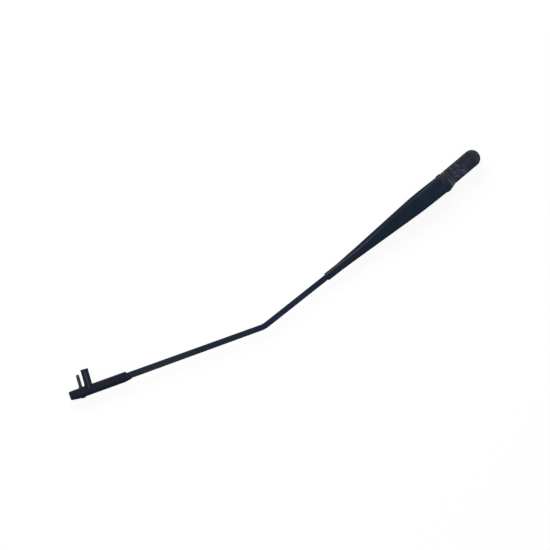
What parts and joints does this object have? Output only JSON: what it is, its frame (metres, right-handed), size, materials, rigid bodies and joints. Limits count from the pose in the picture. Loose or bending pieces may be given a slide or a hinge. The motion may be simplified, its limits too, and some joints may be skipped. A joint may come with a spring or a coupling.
{
  "type": "wiper arm",
  "caption": "Windscreen wiper arm: sprung hinge head with a flip-up nut cap, tapered steel channel, cranked flat strip and an end bracket with a side pin and tab for the blade.",
  "frame": {"origin": "on the wiper spindle's axis, inside the head's stud hole, 6 mm below the nut seat", "axes": "+Z along the spindle, away from the glass; +X from the head towards the blade end; the blade pin and tab stand out towards -Y"},
  "size_m": [0.6607, 0.1248, 0.031],
  "materials": {
    "cast_head": "die-cast, painted black, worn grey at the shoulder",
    "cap_plastic": "moulded, scuffed",
    "bush_plastic": "natural",
    "arm_paint": "satin bluish black powder coat",
    "pin_steel": "dark phosphated",
    "link_steel": "zinc plated, dull",
    "spring_steel": "oiled spring wire"
  },
  "bodies": {
    "head": {"mounting_head": "cast_head", "hinge_bush_near": "bush_plastic", "hinge_bush_far": "bush_plastic", "link_pin": "pin_steel"},
    "arm": {"arm_channel": "arm_paint", "arm_strip": "arm_paint", "end_bracket": "arm_paint", "blade_pin": "pin_steel", "hinge_pin": "arm_paint"},
    "link": {"spring_link": "link_steel", "tension_spring": "spring_steel"},
    "cap": {"cover_cap": "cap_plastic"}
  },
  "joints": [
    {"name": "arm_hinge", "type": "hinge", "parent": "head", "child": "arm", "pos_m": [0.0522, 0.0027, 0.0105], "axis": [0, -1, 0], "range_deg": [0, 60], "stiffness_Nm_per_rad": 2, "springref_deg": -143.24},
    {"name": "link_swing", "type": "hinge", "parent": "head", "child": "link", "pos_m": [0.0482, 0.0027, 0.004], "axis": [0, -1, 0], "range_deg": [0, 58], "deforming": ["tension_spring"]},
    {"name": "cap_hinge", "type": "hinge", "parent": "head", "child": "cap", "pos_m": [0.03698, 0.00113, 0.013], "axis": [-0.0305, 0.9995, 0], "range_deg": [0, 85]}
  ],
  "couplings": [
    {"joint": "link_swing", "follows": "arm_hinge", "ratio": 0.957}
  ]
}
